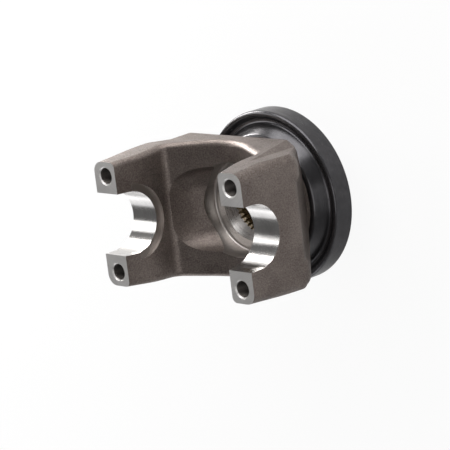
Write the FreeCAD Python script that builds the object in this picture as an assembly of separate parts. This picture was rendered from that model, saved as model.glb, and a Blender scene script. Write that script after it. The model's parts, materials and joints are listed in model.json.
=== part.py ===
import FreeCAD, Part
import math
import os
from FreeCAD import Vector

# Splined end yoke for a heavy truck's propeller shaft: one steel forging,
# machined where it fits something, with a pressed steel dust slinger on its hub.
# Millimetres. +Z runs along the shaft towards the ears, X across the ears, Y along
# each pair of bolt holes. The origin is the centre of the hub's rear end face.

# ---- driving dimensions -------------------------------------------------------

# overall
overall_height = 150.0        # hub's rear end to the ears' end faces
ear_span = 161.0              # over the outer faces of the two ears
ear_gap = 114.2               # between the ears at the open end

# bearing cup saddles
cup_diameter = 49.2           # half-round seat for a bearing cup
cup_axis_drop = 9.1           # cup axis below the ears' end faces
relief_diameter = 61.2        # milled face round each seat, inside the ears
relief_gap = 107.6            # between the two milled faces

# strap bolt holes, tapped 1/2-20
bolt_span_x = 136.7
bolt_span_y = 76.8
bolt_hole_diameter = 12.7     # the thread's outer size; its ridges aren't modelled
bolt_hole_depth = 38.0
bolt_chamfer_diameter = 14.8
drill_point_angle = 118.0

# the forging's ears and bridge
tip_half_width = 49.6         # half the ears' width in Y at the end faces
side_draft = 4.6              # degrees, the width grows towards the hub
ear_waist_gap = 101.2         # between the ears where they come closest
ear_waist_depth = 24.0        # that place, below the end faces
ear_root_gap = 104.0          # between the ears at the corner with the bridge
bridge_low_depth = 66.8       # middle of the bridge's inner surface
bridge_slope = 28.0           # degrees, of its two straight flanks
bridge_arc_radius = 60.2
ear_root_radius = 7.0
shoulder_depth = 57.0         # where an ear's outer face turns in to the hub
shoulder_radius = 9.0
rail_depth = 80.0             # where the bridge's sides turn in to the hub
rail_radius = 7.0
crown_span = 104.0            # the bridge's full-width crown
crown_half_width = 56.4
ear_side_span = 126.0         # outside this, the ears' sides stay within the towers'
outer_edge_radius = 8.5
inner_edge_radius = 4.5

# bolt towers behind the bolt holes
tower_end_depth = 68.0
tower_half_width = 51.8       # out to the towers' sides, at their rear ends
tower_width = 26.0            # in Y
tower_depth = 25.0            # in X
tower_end_radius = 11.0
tower_top_depth = 30.0        # the block starts here, inside the ear

# hollow that lets the joint's cross swing
swing_radius = 51.6
swing_depth = 36.3
swing_half_width = 34.5
swing_shoulder_radius = 22.0

# hub
hub_diameter = 101.0          # rough forged collar behind the bridge
hub_face_depth = 100.5        # its machined rear face
hub_root_depth = 95.0         # where the forging's flanks reach the collar
hub_edge_chamfer = 2.0
bell_angle = 30.0             # degrees, trims the base's corners round the collar
journal_diameter = 82.55      # ground seat for the shaft seal
slinger_seat_diameter = 84.0  # a step up from the journal, for the slinger's press fit
slinger_seat_length = 8.5
journal_chamfer = 1.5

# nut pocket and splines
pocket_diameter = 76.2
pocket_floor_depth = 84.0
pocket_floor_radius = 2.5
spline_teeth = 36
spline_minor_diameter = 45.4
spline_major_diameter = 49.2
spline_lead_in_diameter = 58.4
spline_lead_in_angle = 60.0   # between the lead-in cone and the pocket's floor
spline_end_chamfer = 1.2
spline_tip_share = 0.34       # of the pitch, at the teeth's tips
spline_root_share = 0.30      # of the pitch, at the bottoms of the gaps

# dust slinger, pressed from sheet
slinger_sheet = 2.2
slinger_diameter = 139.7
slinger_rim_drop = 24.3       # free edge of the rim, behind the hub face
slinger_lip_drop = 6.0        # front of the rounded lip
slinger_lip_diameter = 133.0
slinger_valley_drop = 14.0    # bottom of the pressed groove
slinger_valley_diameter = 122.6
slinger_web_diameter = 104.0  # flat web that lies on the collar's rear face
slinger_collar_length = 7.5
slinger_bend_radius = 3.0

REACH = 200.0                 # longer than the part, for cutting tools

# heights above the hub's end, from the depths given below the ears' end faces
shoulder_height = overall_height - shoulder_depth
rail_height = overall_height - rail_depth
tower_end_height = overall_height - tower_end_depth
tower_top_height = overall_height - tower_top_depth
swing_height = overall_height - swing_depth
hub_face_height = overall_height - hub_face_depth
hub_root_height = overall_height - hub_root_depth
pocket_floor_height = overall_height - pocket_floor_depth
slinger_rim_back = hub_face_height - slinger_rim_drop
slinger_lip_height = hub_face_height - slinger_lip_drop
slinger_valley_height = hub_face_height - slinger_valley_drop


# ---- helpers ------------------------------------------------------------------

def at_xz(x, z):
    return Vector(x, 0, z)


def at_yz(y, z):
    return Vector(0, y, z)


def at_xy(x, y):
    return Vector(x, y, 0)


def rounded_outline(corners, place):
    """Closed wire through (a, b, radius) corners; place turns (a, b) into a point."""
    edges = []
    ends = []
    count = len(corners)
    for i in range(count):
        a, b, radius = corners[i]
        before = Vector(corners[i - 1][0], corners[i - 1][1], 0)
        after = Vector(corners[(i + 1) % count][0], corners[(i + 1) % count][1], 0)
        corner = Vector(a, b, 0)
        to_before = (before - corner).normalize()
        to_after = (after - corner).normalize()
        if radius == 0:
            ends.append((corner, corner))
            continue
        half = to_before.getAngle(to_after) / 2
        bisector = (to_before + to_after).normalize()
        start = corner + to_before * (radius / math.tan(half))
        end = corner + to_after * (radius / math.tan(half))
        middle = corner + bisector * (radius / math.sin(half) - radius)
        edges.append(Part.Arc(place(start.x, start.y), place(middle.x, middle.y),
                              place(end.x, end.y)).toShape())
        ends.append((start, end))
    for i in range(count):
        start = ends[i][1]
        end = ends[(i + 1) % count][0]
        if (end - start).Length > 1e-6:
            edges.append(Part.LineSegment(place(start.x, start.y),
                                          place(end.x, end.y)).toShape())
    return Part.Wire(Part.__sortEdges__(edges))


def prism(corners, place, direction):
    """Solid from a rounded outline, grown both ways along direction."""
    face = Part.Face(rounded_outline(corners, place))
    face.translate(direction * -0.5)
    return face.extrude(direction)


def turned(corners):
    """Solid of revolution about Z from a closed (radius, height, round) outline."""
    face = Part.Face(rounded_outline(corners, at_xz))
    return face.revolve(Vector(0, 0, 0), Vector(0, 0, 1), 360)


def edges_where(shape, test):
    return [edge for edge in shape.Edges if test(edge)]


def mirrored(points):
    """The points, then the same points on the other side in reverse order."""
    other = [(-a, b, radius) for a, b, radius in reversed(points) if a != 0]
    return points + other


# ---- the forging --------------------------------------------------------------

draft = math.tan(math.radians(side_draft))


def half_width(height):
    """Half of the forging's width in Y, at a height above the hub's end."""
    return tip_half_width + draft * (overall_height - height)


def ears_and_bridge():
    """The U seen along Y, cut to the drafted width seen along X."""
    top = overall_height + 4
    flare = (ear_gap - ear_waist_gap) / 2 / ear_waist_depth
    slope = math.tan(math.radians(bridge_slope))
    arc_rise = bridge_arc_radius / math.cos(math.radians(bridge_slope)) - bridge_arc_radius
    bridge_point = overall_height - bridge_low_depth - arc_rise
    root_height = bridge_point + slope * ear_root_gap / 2
    inner = [
        (ear_gap / 2 + 4 * flare, top, 0),
        (ear_waist_gap / 2, overall_height - ear_waist_depth, 50.0),
        (ear_root_gap / 2, root_height, ear_root_radius),
        (0, bridge_point, bridge_arc_radius),
    ]
    outer = [
        (hub_diameter / 2, hub_root_height, 0),
        (ear_span / 2, shoulder_height, shoulder_radius),
        (ear_span / 2, top, 0),
    ]
    outline = outer + mirrored(inner) + [(-a, b, radius) for a, b, radius in reversed(outer)]
    ears = prism(outline, at_xz, Vector(0, REACH, 0))
    side = [
        (hub_diameter / 2, hub_root_height, 0),
        (half_width(rail_height), rail_height, rail_radius),
        (half_width(top), top, 0),
    ]
    side = side + [(-a, b, radius) for a, b, radius in reversed(side)]
    return ears.common(prism(side, at_yz, Vector(REACH, 0, 0)))


def crown():
    """Plan of the forging: full width at the bridge, less beside the towers."""
    plan = [
        (crown_span / 2, crown_half_width, 0),
        (ear_side_span / 2, tower_half_width, 0),
        (REACH / 2, tower_half_width, 0),
    ]
    plan = plan + [(a, -b, radius) for a, b, radius in reversed(plan)]
    plan = plan + [(-a, -b, radius) for a, b, radius in plan]
    return prism(plan, at_xy, Vector(0, 0, 2 * REACH))


def middle_of(edge):
    return edge.valueAt((edge.FirstParameter + edge.LastParameter) / 2)


def on_side(edge):
    """True on an edge that lies in one of the two drafted side faces."""
    middle = middle_of(edge)
    return abs(abs(middle.y) - half_width(middle.z)) < 0.05


def rounded_ears():
    """The U with its long edges rounded, as the forging dies leave them."""
    body = ears_and_bridge()
    root_x = ear_root_gap / 2 + 5

    def is_outer(edge):
        middle = middle_of(edge)
        crosses = edge.BoundBox.XLength > ear_gap or edge.BoundBox.YLength > hub_diameter / 2
        ear = abs(middle.x) > ear_span / 2 - shoulder_radius and middle.z < overall_height
        flank = middle.z < shoulder_height and abs(middle.x) > hub_diameter / 2
        return (ear or flank) and not crosses

    def is_inner(edge):
        middle = middle_of(edge)
        low = overall_height - bridge_low_depth - 1
        return on_side(edge) and abs(middle.x) < root_x and low < middle.z < overall_height

    body = body.makeFillet(outer_edge_radius, edges_where(body, is_outer))
    body = body.common(crown()).common(bell())
    return body.makeFillet(inner_edge_radius, edges_where(body, is_inner))


def bell():
    """Cone that trims the corners of the base where they would pass the collar."""
    rise = math.tan(math.radians(bell_angle))
    radius = hub_diameter / 2
    reach = REACH / 2
    return turned([
        (0, hub_root_height, 0),
        (radius, hub_root_height, 0),
        (radius + reach, hub_root_height + reach * rise, 0),
        (radius + reach, REACH, 0),
        (0, REACH, 0),
    ])


def tower():
    """Rounded boss behind one tapped hole, for the +X +Y corner."""
    low = tower_end_height
    outer_x = ear_span / 2
    block = Part.makeBox(tower_depth, tower_width, tower_top_height - low,
                         Vector(outer_x - tower_depth, tower_half_width - tower_width, low))
    upright = edges_where(block, lambda e: e.BoundBox.ZLength > 1)
    block = block.makeFillet(outer_edge_radius, upright)
    rear = edges_where(block, lambda e: e.BoundBox.ZMax < low + 0.01)
    return block.makeFillet(tower_end_radius, rear)


def swing_hollow():
    """Wheel-shaped space, lying along Y, that the joint's cross swings through."""
    profile = [
        (0, -swing_half_width, 0),
        (swing_radius, -swing_half_width, swing_shoulder_radius),
        (swing_radius, swing_half_width, swing_shoulder_radius),
        (0, swing_half_width, 0),
    ]
    centre = Vector(0, 0, swing_height)
    face = Part.Face(rounded_outline(profile, lambda a, b: Vector(a, b, swing_height)))
    return face.revolve(centre, Vector(0, 1, 0), 360)


def collar():
    """Rough round collar that carries the journal."""
    radius = hub_diameter / 2
    return turned([
        (0, hub_face_height, 0),
        (radius - hub_edge_chamfer, hub_face_height, 0),
        (radius, hub_face_height + hub_edge_chamfer, 0),
        (radius, hub_root_height + 2, 0),
        (0, hub_root_height + 2, 0),
    ])


def forging():
    """The raw forging, before any machining."""
    body = rounded_ears()
    for side_x in (1, -1):
        for side_y in (1, -1):
            boss = tower()
            if side_x < 0:
                boss = boss.mirror(Vector(0, 0, 0), Vector(1, 0, 0))
            if side_y < 0:
                boss = boss.mirror(Vector(0, 0, 0), Vector(0, 1, 0))
            body = body.fuse(boss)
    body = body.fuse(collar())
    return body.cut(swing_hollow())


# ---- machining ------------------------------------------------------------------

cup_axis_height = overall_height - cup_axis_drop


def along_x(diameter, length):
    start = Vector(-length / 2, 0, cup_axis_height)
    return Part.makeCylinder(diameter / 2, length, start, Vector(1, 0, 0))


def saddle_cut():
    """Half-round cup seats, open towards the ears' end faces."""
    slot = Part.makeBox(REACH, cup_diameter, REACH,
                        Vector(-REACH / 2, -cup_diameter / 2, cup_axis_height))
    return along_x(cup_diameter, REACH).fuse(slot)


def end_face_cut():
    return Part.makeBox(REACH, REACH, REACH, Vector(-REACH / 2, -REACH / 2, overall_height))


def bolt_hole(x, y):
    """Blind drilled hole with its chamfered mouth and drill point."""
    radius = bolt_hole_diameter / 2
    mouth = bolt_chamfer_diameter / 2
    floor = overall_height - bolt_hole_depth
    point = radius / math.tan(math.radians(drill_point_angle / 2))
    over = 1.0
    profile = [
        (0, floor - point, 0),
        (radius, floor, 0),
        (radius, overall_height - (mouth - radius), 0),
        (mouth, overall_height, 0),
        (mouth, overall_height + over, 0),
        (0, overall_height + over, 0),
    ]
    hole = turned(profile)
    hole.translate(Vector(x, y, 0))
    return hole


def nut_pocket():
    """Counterbore for the shaft's nut, and the cone that leads into the splines."""
    radius = pocket_diameter / 2
    lead = spline_lead_in_diameter / 2
    minor = spline_minor_diameter / 2
    floor = pocket_floor_height
    lead_depth = (lead - minor) * math.tan(math.radians(spline_lead_in_angle))
    top = swing_height
    return turned([
        (0, floor - lead_depth, 0),
        (minor, floor - lead_depth, 0),
        (lead, floor, 0),
        (radius, floor, pocket_floor_radius),
        (radius, top, 0),
        (0, top, 0),
    ])


def spline_bore():
    """Toothed bore through the hub; the teeth taper towards the shaft."""
    minor = spline_minor_diameter / 2
    major = spline_major_diameter / 2
    pitch = 2 * math.pi / spline_teeth
    tip = pitch * spline_tip_share / 2
    root = pitch * spline_root_share / 2
    points = []
    for i in range(spline_teeth):
        centre = i * pitch
        for radius, angle in (
            (minor, centre + tip),
            (major, centre + pitch / 2 - root),
            (major, centre + pitch / 2 + root),
            (minor, centre + pitch - tip),
        ):
            points.append(Vector(radius * math.cos(angle), radius * math.sin(angle), 0))
    points.append(points[0])
    return Part.Face(Part.makePolygon(points)).extrude(Vector(0, 0, pocket_floor_height))


def spline_end_cut():
    """Chamfer at the splines' rear end."""
    major = spline_major_diameter / 2
    return Part.makeCone(major + spline_end_chamfer, major, spline_end_chamfer)


def journal():
    """Ground seats for the shaft seal and the slinger, from the end to the collar."""
    radius = journal_diameter / 2
    seat = slinger_seat_diameter / 2
    seat_start = hub_face_height - slinger_seat_length
    return turned([
        (0, 0, 0),
        (radius - journal_chamfer, 0, 0),
        (radius, journal_chamfer * 2, 0),
        (radius, seat_start, 0),
        (seat, seat_start + (seat - radius), 0),
        (seat, hub_face_height + 1, 0),
        (0, hub_face_height + 1, 0),
    ])


def yoke():
    body = forging().fuse(journal())
    cuts = [end_face_cut(), saddle_cut(), along_x(relief_diameter, relief_gap), nut_pocket(),
            spline_bore(), spline_end_cut()]
    for side_x in (1, -1):
        for side_y in (1, -1):
            cuts.append(bolt_hole(side_x * bolt_span_x / 2, side_y * bolt_span_y / 2))
    for tool in cuts:
        body = body.cut(tool)
    return body


# ---- dust slinger -----------------------------------------------------------------

def sheet_outline(bends, thickness):
    """Closed outline of bent sheet from its front side's (a, b, radius) bends.

    The back side lies one thickness to the right of the way the bends run. A bend
    that would round the back by less than half a thickness leaves it sharp.
    """
    points = [Vector(a, b, 0) for a, b, radius in bends]
    normals = []
    for start, end in zip(points, points[1:]):
        along = (end - start).normalize()
        normals.append(Vector(along.y, -along.x, 0))
    back = []
    for i, (a, b, radius) in enumerate(bends):
        first = normals[max(i - 1, 0)]
        second = normals[min(i, len(normals) - 1)]
        shift = (first + second) * (thickness / (1 + first.dot(second)))
        turn = first.cross(second).z
        inner = 0
        if radius > 0 and turn > 0:
            inner = radius + thickness
        if radius > 1.5 * thickness and turn < 0:
            inner = radius - thickness
        back.append((a + shift.x, b + shift.y, inner))
    return list(bends) + back[::-1]


def dust_slinger():
    """Pressed ring: collar on the journal, web, groove, rounded lip and rim."""
    bore = slinger_seat_diameter / 2
    rim = slinger_diameter / 2
    web = hub_face_height
    front = [
        (bore, web, 0),
        (slinger_web_diameter / 2, web, slinger_bend_radius),
        (slinger_valley_diameter / 2, slinger_valley_height, slinger_bend_radius),
        (slinger_lip_diameter / 2, slinger_lip_height, slinger_bend_radius),
        (rim, slinger_lip_height - 1, slinger_bend_radius),
        (rim, slinger_rim_back, 0),
    ]
    ring = turned(sheet_outline(front, slinger_sheet))
    outer = Part.makeCylinder(bore + slinger_sheet, slinger_collar_length,
                              Vector(0, 0, web - slinger_collar_length))
    inner = Part.makeCylinder(bore, slinger_collar_length + 1,
                              Vector(0, 0, web - slinger_collar_length - 0.5))
    return ring.fuse(outer.cut(inner)).removeSplitter()


# ---- write the pieces ---------------------------------------------------------------

os.makedirs("parts", exist_ok=True)
pieces = {
    "yoke": yoke(),
    "dust_slinger": dust_slinger(),
}
for name, shape in pieces.items():
    print(name, "valid", shape.isValid(), "solids", len(shape.Solids),
          "volume", round(shape.Volume / 1000, 1), "cm3", "faces", len(shape.Faces))
    shape.exportStep("parts/" + name + ".step")
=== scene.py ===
# %% [markdown]
# # A splined end yoke and its dust slinger
# The object is the end of a truck's drive shaft: a steel forging with two ears, and
# a black pressed ring on its hub. Its solids come ready made from CAD, so this
# lesson is about surfaces: how a forged skin, a milled face, a bored seat and a
# coated sheet differ, and how light shows the difference.

import json
import math

import bpy
import bmesh
from mathutils import Matrix, Vector


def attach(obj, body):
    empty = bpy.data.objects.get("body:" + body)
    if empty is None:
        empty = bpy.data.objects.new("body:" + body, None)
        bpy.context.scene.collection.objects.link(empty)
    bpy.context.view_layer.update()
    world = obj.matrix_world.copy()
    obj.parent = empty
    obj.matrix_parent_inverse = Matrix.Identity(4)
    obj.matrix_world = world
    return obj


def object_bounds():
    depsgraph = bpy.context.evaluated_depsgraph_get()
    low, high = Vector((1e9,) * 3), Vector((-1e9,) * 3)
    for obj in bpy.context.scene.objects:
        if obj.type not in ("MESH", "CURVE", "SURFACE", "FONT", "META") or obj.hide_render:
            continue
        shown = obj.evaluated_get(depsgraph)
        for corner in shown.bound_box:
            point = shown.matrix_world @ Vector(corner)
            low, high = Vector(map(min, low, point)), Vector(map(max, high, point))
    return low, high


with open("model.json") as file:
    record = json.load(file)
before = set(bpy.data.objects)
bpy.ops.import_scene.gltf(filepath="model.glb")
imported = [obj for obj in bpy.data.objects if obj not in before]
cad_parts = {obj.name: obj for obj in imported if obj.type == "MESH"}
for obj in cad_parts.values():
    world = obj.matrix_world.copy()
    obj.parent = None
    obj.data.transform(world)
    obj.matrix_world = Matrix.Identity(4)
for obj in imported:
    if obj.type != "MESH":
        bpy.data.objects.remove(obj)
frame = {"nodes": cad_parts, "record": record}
cad_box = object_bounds()
yoke = frame["nodes"]["yoke"]
slinger = frame["nodes"]["dust_slinger"]
for name, node in frame["nodes"].items():
    print(name, "has", len(node.data.polygons), "faces")

# %% [markdown]
# ## Sizes
# The record that comes with the solids names each place where another part fits.
# Those sizes are read here once, so that a finish or a thread that follows them
# moves with them. Blender works in metres.

# %% Sizes from the record
mounts = {mount["name"]: mount for mount in frame["record"]["mounts"]}


def millimetres(mount, key):
    """A size of one mount, in metres."""
    return mounts[mount]["dims"][key] / 1000


seat_radius = millimetres("cup_saddles", "r_mm")
seat_height = mounts["cup_saddles"]["pos_m"][2]
face_height = cad_box[1][2]
bolt_x = millimetres("strap_bolts", "spacing_x_mm") / 2
bolt_y = millimetres("strap_bolts", "spacing_y_mm") / 2
bolt_radius = millimetres("strap_bolts", "hole_r_mm")
journal_radius = millimetres("seal_journal", "r_mm")
pocket_floor = mounts["nut_seat"]["pos_m"][2]

# machined places that the record doesn't name
relief_radius, relief_half_gap = 0.0306, 0.0538
pocket_radius, pocket_wall, floor_fillet = 0.0381, 0.022, 0.0025
spline_radius = 0.0246
hub_face, hub_face_radius = 0.0495, 0.049
chamfer_radius = 0.0074
ears_only = 0.1  # above this height there is nothing but the ears
print("ears end at", face_height, "m and the cup seats' radius is", seat_radius, "m")

# %% [markdown]
# ## Shader maths that reads like Python
# A material is a graph of nodes. Wiring each Math node by hand hides the idea, so
# a small class wraps one output socket: adding or multiplying two wires makes the
# Math node between them. `Finish.node` makes every other kind of node.

# %% The wire class
class Wire:
    """One output socket; arithmetic on it adds Math nodes."""

    def __init__(self, finish, socket):
        self.finish = finish
        self.socket = socket

    def math(self, operation, first, second=0.0):
        return self.finish.node("ShaderNodeMath", {"operation": operation},
                                {0: first, 1: second})

    def __add__(self, other):
        return self.math("ADD", self, other)

    __radd__ = __add__

    def __sub__(self, other):
        return self.math("SUBTRACT", self, other)

    def __rsub__(self, other):
        return self.math("SUBTRACT", other, self)

    def __mul__(self, other):
        return self.math("MULTIPLY", self, other)

    __rmul__ = __mul__

    def __pow__(self, other):
        return self.math("POWER", self, other)

    def length(self, other):
        """Distance from the axis that runs where both wires are zero."""
        return (self * self + other * other) ** 0.5


class Finish:
    """A material, with one method that adds any node to it."""

    def __init__(self, name):
        self.material = bpy.data.materials.new(name)
        self.material.use_nodes = True
        self.tree = self.material.node_tree
        self.surface = self.tree.nodes["Principled BSDF"]

    def node(self, kind, settings, sockets, output=0):
        made = self.tree.nodes.new(kind)
        for name, value in settings.items():
            setattr(made, name, value)
        for name, value in sockets.items():
            self.feed(made.inputs[name], value)
        return Wire(self, made.outputs[output])

    def feed(self, socket, value):
        if isinstance(value, Wire):
            self.tree.links.new(value.socket, socket)
        else:
            socket.default_value = value

    def set(self, **sockets):
        """Principled sockets, with _ for a space: set(Base_Color=...)."""
        for name, value in sockets.items():
            self.feed(self.surface.inputs[name.replace("_", " ")], value)


print("Wire and Finish are ready")

# %% [markdown]
# ## Building blocks for metal
# Every finish here needs the same few things: where a point is on the object,
# noise of a stated grain size, a blend of two colours, and a bump of a stated
# depth. Noise is asked for by its size in metres, because a machinist thinks of
# grain in tenths of a millimetre and not in "scale 1250".

# %% Building blocks
def place(finish):
    """The point on the object, which the finishes are laid out by."""
    return finish.node("ShaderNodeTexCoord", {}, {}, "Object")


def split(point):
    """x, y and z of a point, as three wires."""
    parts = point.finish.node("ShaderNodeSeparateXYZ", {}, {0: point}).socket.node
    return [Wire(point.finish, output) for output in parts.outputs]


def noise(point, size, detail=2.0, roughness=0.5):
    return point.finish.node("ShaderNodeTexNoise", {"noise_dimensions": "3D"},
                             {"Vector": point, "Scale": 1 / size, "Detail": detail,
                              "Roughness": roughness}, "Fac")


def joined(x, y, z):
    """A point made of three wires or numbers."""
    finish = next(part.finish for part in (x, y, z) if isinstance(part, Wire))
    return finish.node("ShaderNodeCombineXYZ", {}, {0: x, 1: y, 2: z})


def blend(factor, first, second):
    """Colour between first and second."""
    return factor.finish.node("ShaderNodeMix", {"data_type": "RGBA"},
                              {"Factor": factor, "A": first, "B": second}, "Result")


def remap(wire, low, high, new_low=0.0, new_high=1.0):
    """Stretch the range low..high to new_low..new_high, and clamp it."""
    return wire.finish.node("ShaderNodeMapRange", {"clamp": True},
                            {"Value": wire, "From Min": low, "From Max": high,
                             "To Min": new_low, "To Max": new_high})


def bumped(height, depth, strength=1.0):
    """Normal from a height of 0 to 1 that stands for depth metres."""
    return height.finish.node("ShaderNodeBump", {},
                              {"Height": height, "Distance": depth, "Strength": strength})


print("building blocks are ready")

# %% [markdown]
# ## The forged skin
# A forging leaves its dies red hot and scaly, and is shot blasted when cold. What is
# left is a grey-brown skin of tiny overlapping dents, duller than cut steel but
# still metal. A scanned texture would carry one part's marks for ever, so noise at
# three sizes does the work: dents, a slow unevenness, and stains.

# %% Forged skin
DARK_SKIN = (0.098, 0.077, 0.068, 1)
PALE_SKIN = (0.255, 0.214, 0.192, 1)


def forged_skin():
    finish = Finish("forged_skin")
    point = place(finish)
    dents = noise(point, 0.0011, detail=3.0, roughness=0.6)
    waves = noise(point, 0.012, detail=2.0)
    stains = noise(point, 0.035, detail=4.0, roughness=0.55)
    shade = remap(dents * 0.6 + stains * 0.4, 0.36, 0.64)
    finish.set(Base_Color=blend(shade, DARK_SKIN, PALE_SKIN),
               Metallic=0.7,
               Roughness=remap(dents * 0.5 + waves * 0.5, 0.3, 0.7, 0.46, 0.31),
               Normal=bumped(dents * 0.8 + waves * 0.2, 0.00040, 0.8))
    return finish.material


skin = forged_skin()
print("made", skin.name)

# %% [markdown]
# ## Cut steel
# Three cuts show. The ears' end faces are milled flat, so their marks are shallow
# arcs. The cup seats are bored, with fine lines round the seat's own axis, across
# the ears. The pocket, hub face and journal are turned on the shaft's axis. All
# are one steel, so one recipe takes the coordinate that the tool moved along and
# draws the marks from it. It also takes two colours: deep cuts such as the relief
# behind the seats stay dull, the tapped holes are coloured dark, which is painted
# shade in the holes, and the broached splines have a warm, straw-coloured shine.

# %% Cut steel
MILLED = (0.86, 0.84, 0.82, 1)
MILLED_SHADED = (0.68, 0.66, 0.645, 1)
BRIGHT = (0.64, 0.625, 0.61, 1)
SHADED = (0.43, 0.415, 0.405, 1)
DULL = (0.60, 0.56, 0.53, 1)
DULL_SHADED = (0.40, 0.36, 0.34, 1)
# painted shade: these two dark colours of the tapped holes and threads stand in for the shade
# inside the holes
HOLE_SHADE = (0.16, 0.145, 0.135, 1)
HOLE_SHADE_DARKER = (0.06, 0.053, 0.05, 1)
STRAW = (0.86, 0.76, 0.56, 1)
STRAW_SHADED = (0.60, 0.49, 0.34, 1)


def cut_steel(name, along, pitch, roughness, pale=BRIGHT, dark=SHADED):
    """Bright steel with tool marks; along gives the coordinate across the marks."""
    finish = Finish(name)
    point = place(finish)
    travel = along(point)
    marks = noise(joined(travel, 0.0, 0.0), pitch, detail=3.0, roughness=0.7)
    grain = noise(point, 0.0006, detail=2.0)
    wear = noise(point, 0.02, detail=3.0)
    finish.set(Base_Color=blend(remap(marks * 0.5 + wear * 0.5, 0.35, 0.65), dark, pale),
               Metallic=1.0,
               Roughness=remap(marks * 0.6 + grain * 0.4, 0.3, 0.7,
                               roughness - 0.05, roughness + 0.07),
               Normal=bumped(marks * 0.85 + grain * 0.15, 0.00004, 0.5))
    return finish.material


cutter_centre_y = 0.12


def from_shaft_axis(point):
    x, y, _ = split(point)
    return x.length(y)


def across_ears(point):
    return split(point)[0]


def from_cutter(point):
    """Distance from a face mill's centre, well off the face, for its arcs."""
    x, y, _ = split(point)
    return x.length(y - cutter_centre_y)


milled = cut_steel("milled_steel", from_cutter, 0.0012, 0.48, MILLED, MILLED_SHADED)
bored = cut_steel("bored_steel", across_ears, 0.0007, 0.17)
turned = cut_steel("turned_steel", from_shaft_axis, 0.0008, 0.28)
faced = cut_steel("faced_steel", across_ears, 0.0010, 0.36, DULL, DULL_SHADED)
# the tapped holes are coloured dark here: painted shade in the holes
tapped = cut_steel("tapped_steel_painted_shade", from_shaft_axis, 0.0010, 0.42, HOLE_SHADE, HOLE_SHADE_DARKER)
broached = cut_steel("broached_steel", from_shaft_axis, 0.0008, 0.24, STRAW, STRAW_SHADED)
cut_finishes = [milled, bored, turned, faced, tapped, broached]
print("made", [finish.name for finish in cut_finishes])

# %% [markdown]
# ## Black coated sheet
# The slinger is pressed from thin sheet and dipped in a semi-gloss black. The coat
# is smooth but not flat: it follows faint rings that the press tool left. So the
# colour is nearly even, and the rings live in the bump.

# %% Black coat
BLACK = (0.070, 0.068, 0.072, 1)
DUSTY = (0.095, 0.092, 0.096, 1)


def black_coat():
    finish = Finish("black_coat")
    point = place(finish)
    x, y, z = split(point)
    rings = noise(joined(x.length(y), z, 0.0), 0.0022, detail=3.0)
    dust = noise(point, 0.009, detail=4.0, roughness=0.6)
    finish.set(Base_Color=blend(remap(dust, 0.4, 0.75), BLACK, DUSTY),
               Metallic=0.85,
               Roughness=remap(rings * 0.7 + dust * 0.3, 0.3, 0.7, 0.19, 0.29),
               Normal=bumped(rings, 0.00008, 0.35))
    return finish.material


coat = black_coat()
print("made", coat.name)

# %% [markdown]
# ## Which faces were cut
# A designer would paint the forging by hand, face by face. It is safer to state
# the rule that the machine shop follows: a face is cut where all of its corners lie
# on or inside a tool's path. Each rule below is one tool.

# %% The tools' paths
SLACK = 0.00008  # how far a corner may stand off the tool's path


def on_end_face(p):
    return p.z > face_height - SLACK


def in_seat(p):
    return math.hypot(p.y, min(p.z - seat_height, 0)) < seat_radius + SLACK


def in_relief(p):
    return (math.hypot(p.y, p.z - seat_height) < relief_radius + SLACK
            and abs(p.x) < relief_half_gap + SLACK and p.z > ears_only)


def in_pocket(p):
    return math.hypot(p.x, p.y) < pocket_radius + SLACK and p.z < pocket_floor + pocket_wall


def on_pocket_floor(p):
    flat_radius = pocket_radius - floor_fillet
    return math.hypot(p.x, p.y) < flat_radius + SLACK and p.z < pocket_floor + SLACK


def in_bore(p):
    return math.hypot(p.x, p.y) < spline_radius + SLACK and p.z < pocket_floor


def on_hub_end(p):
    return p.z < hub_face + SLACK and math.hypot(p.x, p.y) < hub_face_radius


def in_bolt_hole(p):
    off_axis = math.hypot(abs(p.x) - bolt_x, abs(p.y) - bolt_y)
    return off_axis < chamfer_radius + SLACK and p.z > ears_only


def on_bolt_chamfer(p):
    return in_bolt_hole(p) and p.z > face_height - (chamfer_radius - bolt_radius) - SLACK


CUTS = [(on_bolt_chamfer, milled), (in_bolt_hole, tapped), (in_seat, bored),
        (in_relief, faced), (on_end_face, milled), (in_bore, broached),
        (on_pocket_floor, turned), (in_pocket, faced), (on_hub_end, turned)]


def dress_yoke():
    """Give each face of the forging the finish of the tool that reached it."""
    mesh = yoke.data
    mesh.materials.clear()
    finishes = [skin] + cut_finishes
    for finish in finishes:
        mesh.materials.append(finish)
    counts = dict.fromkeys([finish.name for finish in finishes], 0)
    for face in mesh.polygons:
        corners = [mesh.vertices[i].co for i in face.vertices]
        cut = next((finish for rule, finish in CUTS if all(map(rule, corners))), skin)
        face.material_index = finishes.index(cut)
        counts[cut.name] += 1
    return counts


print("faces by finish:", dress_yoke())
slinger.data.materials.clear()
slinger.data.materials.append(coat)

# %% [markdown]
# ## Threads in the bolt holes
# The holes are tapped. In the solid they are plain, at the thread's root. A thread
# is a ridge wound round the wall, so it is built as one: a triangle carried along
# a helix, standing in from the wall to the thread's crest.

# %% Threads
thread_pitch = 0.0254 / 20
thread_depth = 0.0006
thread_length = 0.030
thread_steps = 28  # round one turn
thread_sink = 0.00002  # how far the ridge's foot goes into the wall
ridge_foot, ridge_tip = 0.46, 0.07  # half widths, as shares of the pitch


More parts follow.
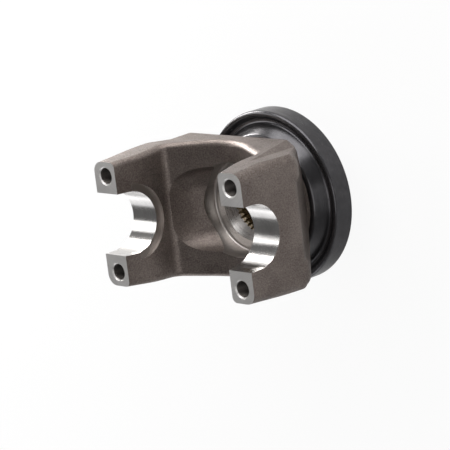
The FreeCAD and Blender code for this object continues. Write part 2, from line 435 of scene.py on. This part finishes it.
def thread(x, y, name):
    """One helical ridge that grows to its full height over the first turn."""
    root = bolt_radius + thread_sink
    crest = bolt_radius - thread_depth
    start = face_height - (chamfer_radius - bolt_radius)
    turns = thread_length / thread_pitch
    mesh = bmesh.new()
    rows = []
    for i in range(int(turns * thread_steps) + 1):
        angle = 2 * math.pi * i / thread_steps
        height = start - thread_pitch * i / thread_steps
        grow = min(1.0, i / thread_steps)
        tip = root - (root - crest) * grow
        row = []
        for radius, offset in ((root, ridge_foot), (tip, ridge_tip),
                               (tip, -ridge_tip), (root, -ridge_foot)):
            row.append(mesh.verts.new((x + radius * math.cos(angle),
                                       y + radius * math.sin(angle),
                                       height + offset * thread_pitch)))
        rows.append(row)
    for row, following in zip(rows, rows[1:]):
        for k in range(3):
            mesh.faces.new((row[k], row[k + 1], following[k + 1], following[k]))
    bmesh.ops.recalc_face_normals(mesh, faces=mesh.faces)
    data = bpy.data.meshes.new(name)
    mesh.to_mesh(data)
    mesh.free()
    # the thread takes the dark tapped finish, which is painted shade in the hole
    data.materials.append(tapped)
    piece = bpy.data.objects.new(name, data)
    bpy.context.scene.collection.objects.link(piece)
    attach(piece, "root")
    return piece


hole_sides = [(side_x, side_y) for side_x in (1, -1) for side_y in (1, -1)]
threads = [thread(side_x * bolt_x, side_y * bolt_y, "thread_%d" % (i + 1))
           for i, (side_x, side_y) in enumerate(hole_sides)]
print("made", len(threads), "threads of", round(thread_length / thread_pitch), "turns")

# %% [markdown]
# ## A plain white studio
# Bare metal shows its surroundings, so the studio is part of the look. A soft lamp
# low on the far +Y side skims the ears' upper faces, one on the far -Y side shines
# in the cup seats, and wide weak ones fill the +Y side, the top and the front.
# Round them the world is white at the horizon and grey overhead, which leaves a
# dark band in the seats. The floor is white; to the camera it is mostly its own
# light, so that it stays white while still taking a soft shadow.

# %% Floor and world
OVERHEAD_LIGHT = 0.16
FLOOR_GLOW = 0.92  # the share of the floor's own light that the camera sees
floor_half_size = 6.0


class Sky(Finish):
    """The same helper, for the world's nodes."""

    def __init__(self, world):
        self.tree = world.node_tree
        self.surface = self.tree.nodes["Background"]


def white_floor():
    finish = Finish("studio_floor")
    finish.set(Base_Color=(0.95, 0.95, 0.95, 1), Roughness=0.9)
    seen = finish.node("ShaderNodeLightPath", {}, {}, "Is Camera Ray")
    glow = finish.node("ShaderNodeEmission", {}, {"Color": (1, 1, 1, 1), "Strength": 1.0})
    painted = Wire(finish, finish.surface.outputs[0])
    mixed = finish.node("ShaderNodeMixShader", {}, {0: seen * FLOOR_GLOW, 1: painted, 2: glow})
    finish.feed(finish.tree.nodes["Material Output"].inputs["Surface"], mixed)
    return finish.material


def floor():
    mesh = bmesh.new()
    bmesh.ops.create_grid(mesh, x_segments=1, y_segments=1, size=floor_half_size)
    data = bpy.data.meshes.new("studio_floor")
    mesh.to_mesh(data)
    mesh.free()
    data.materials.append(white_floor())
    piece = bpy.data.objects.new("studio_floor", data)
    piece.location.z = cad_box[0][2]
    bpy.context.scene.collection.objects.link(piece)
    return piece


def studio_world():
    """White to the camera; to the steel, white at the horizon and grey overhead."""
    world = bpy.data.worlds.new("studio")
    world.use_nodes = True
    sky = Sky(world)
    direction = sky.node("ShaderNodeTexCoord", {}, {}, "Generated")
    height = split(direction)[2]
    overhead = remap(height, 0.0, 0.25)
    seen = sky.node("ShaderNodeLightPath", {}, {}, "Is Camera Ray")
    grey = 1 - overhead * (1 - seen) * (1 - OVERHEAD_LIGHT)
    sky.feed(sky.surface.inputs["Color"], (1, 1, 1, 1))
    sky.feed(sky.surface.inputs["Strength"], grey)
    return world


floor()
bpy.context.scene.world = studio_world()
print("floor at", cad_box[0][2])

# %% Lamps
middle = Vector((0, 0, 0.09))  # where the lamps aim


def soft_lamp(name, at, width, height, radiance, colour=(1, 1, 1)):
    """Square lamp that faces the object; radiance is its brightness as seen."""
    data = bpy.data.lights.new(name, "AREA")
    data.shape = "RECTANGLE"
    data.size = width
    data.size_y = height
    data.energy = radiance * math.pi * width * height
    data.color = colour
    lamp = bpy.data.objects.new(name, data)
    lamp.location = at
    lamp.visible_camera = False
    lamp.rotation_euler = (middle - Vector(at)).to_track_quat("-Z", "Y").to_euler()
    bpy.context.scene.collection.objects.link(lamp)
    return lamp


soft_lamp("upper_strip", (-0.62, 0.28, 0.09), 0.6, 0.16, 22.0, (1.0, 0.985, 0.96))
soft_lamp("upper_softbox", (0.05, 1.0, 0.45), 1.2, 0.8, 3.5)
soft_lamp("lower_softbox", (-0.42, -0.62, 0.24), 1.0, 0.45, 1.3, (0.97, 0.98, 1.0))
soft_lamp("overhead", (-0.85, 0.30, 0.75), 0.4, 0.4, 3.0)
soft_lamp("front_fill", (1.0, -0.1, 0.9), 0.8, 0.8, 1.2)

# %% [markdown]
# ## The camera
# A long lens from over a metre away keeps the ears parallel, as a catalogue picture
# does. The camera looks down at the ears' open end with the bolt pairs upright in
# the frame, so it is rolled far round from level.

# %% Camera
camera_at = Vector((1.2715, 0.3971, 1.2849))
back = Vector((0.71108, 0.22696, 0.66547)).normalized()
up = Vector((-0.0796, 0.96637, -0.24453))
right = up.cross(back).normalized()
up = back.cross(right)

lens = bpy.data.cameras.new("catalogue_camera")
lens.sensor_width = 36
lens.lens = 185.7
lens.clip_end = 50
camera = bpy.data.objects.new("catalogue_camera", lens)
turned_to = Matrix((right, up, back)).transposed().to_4x4()
camera.matrix_world = Matrix.Translation(camera_at) @ turned_to
bpy.context.scene.collection.objects.link(camera)
bpy.context.scene.camera = camera
bpy.context.scene.view_settings.view_transform = "Standard"
print("camera", round((camera_at - middle).length, 3), "m away")
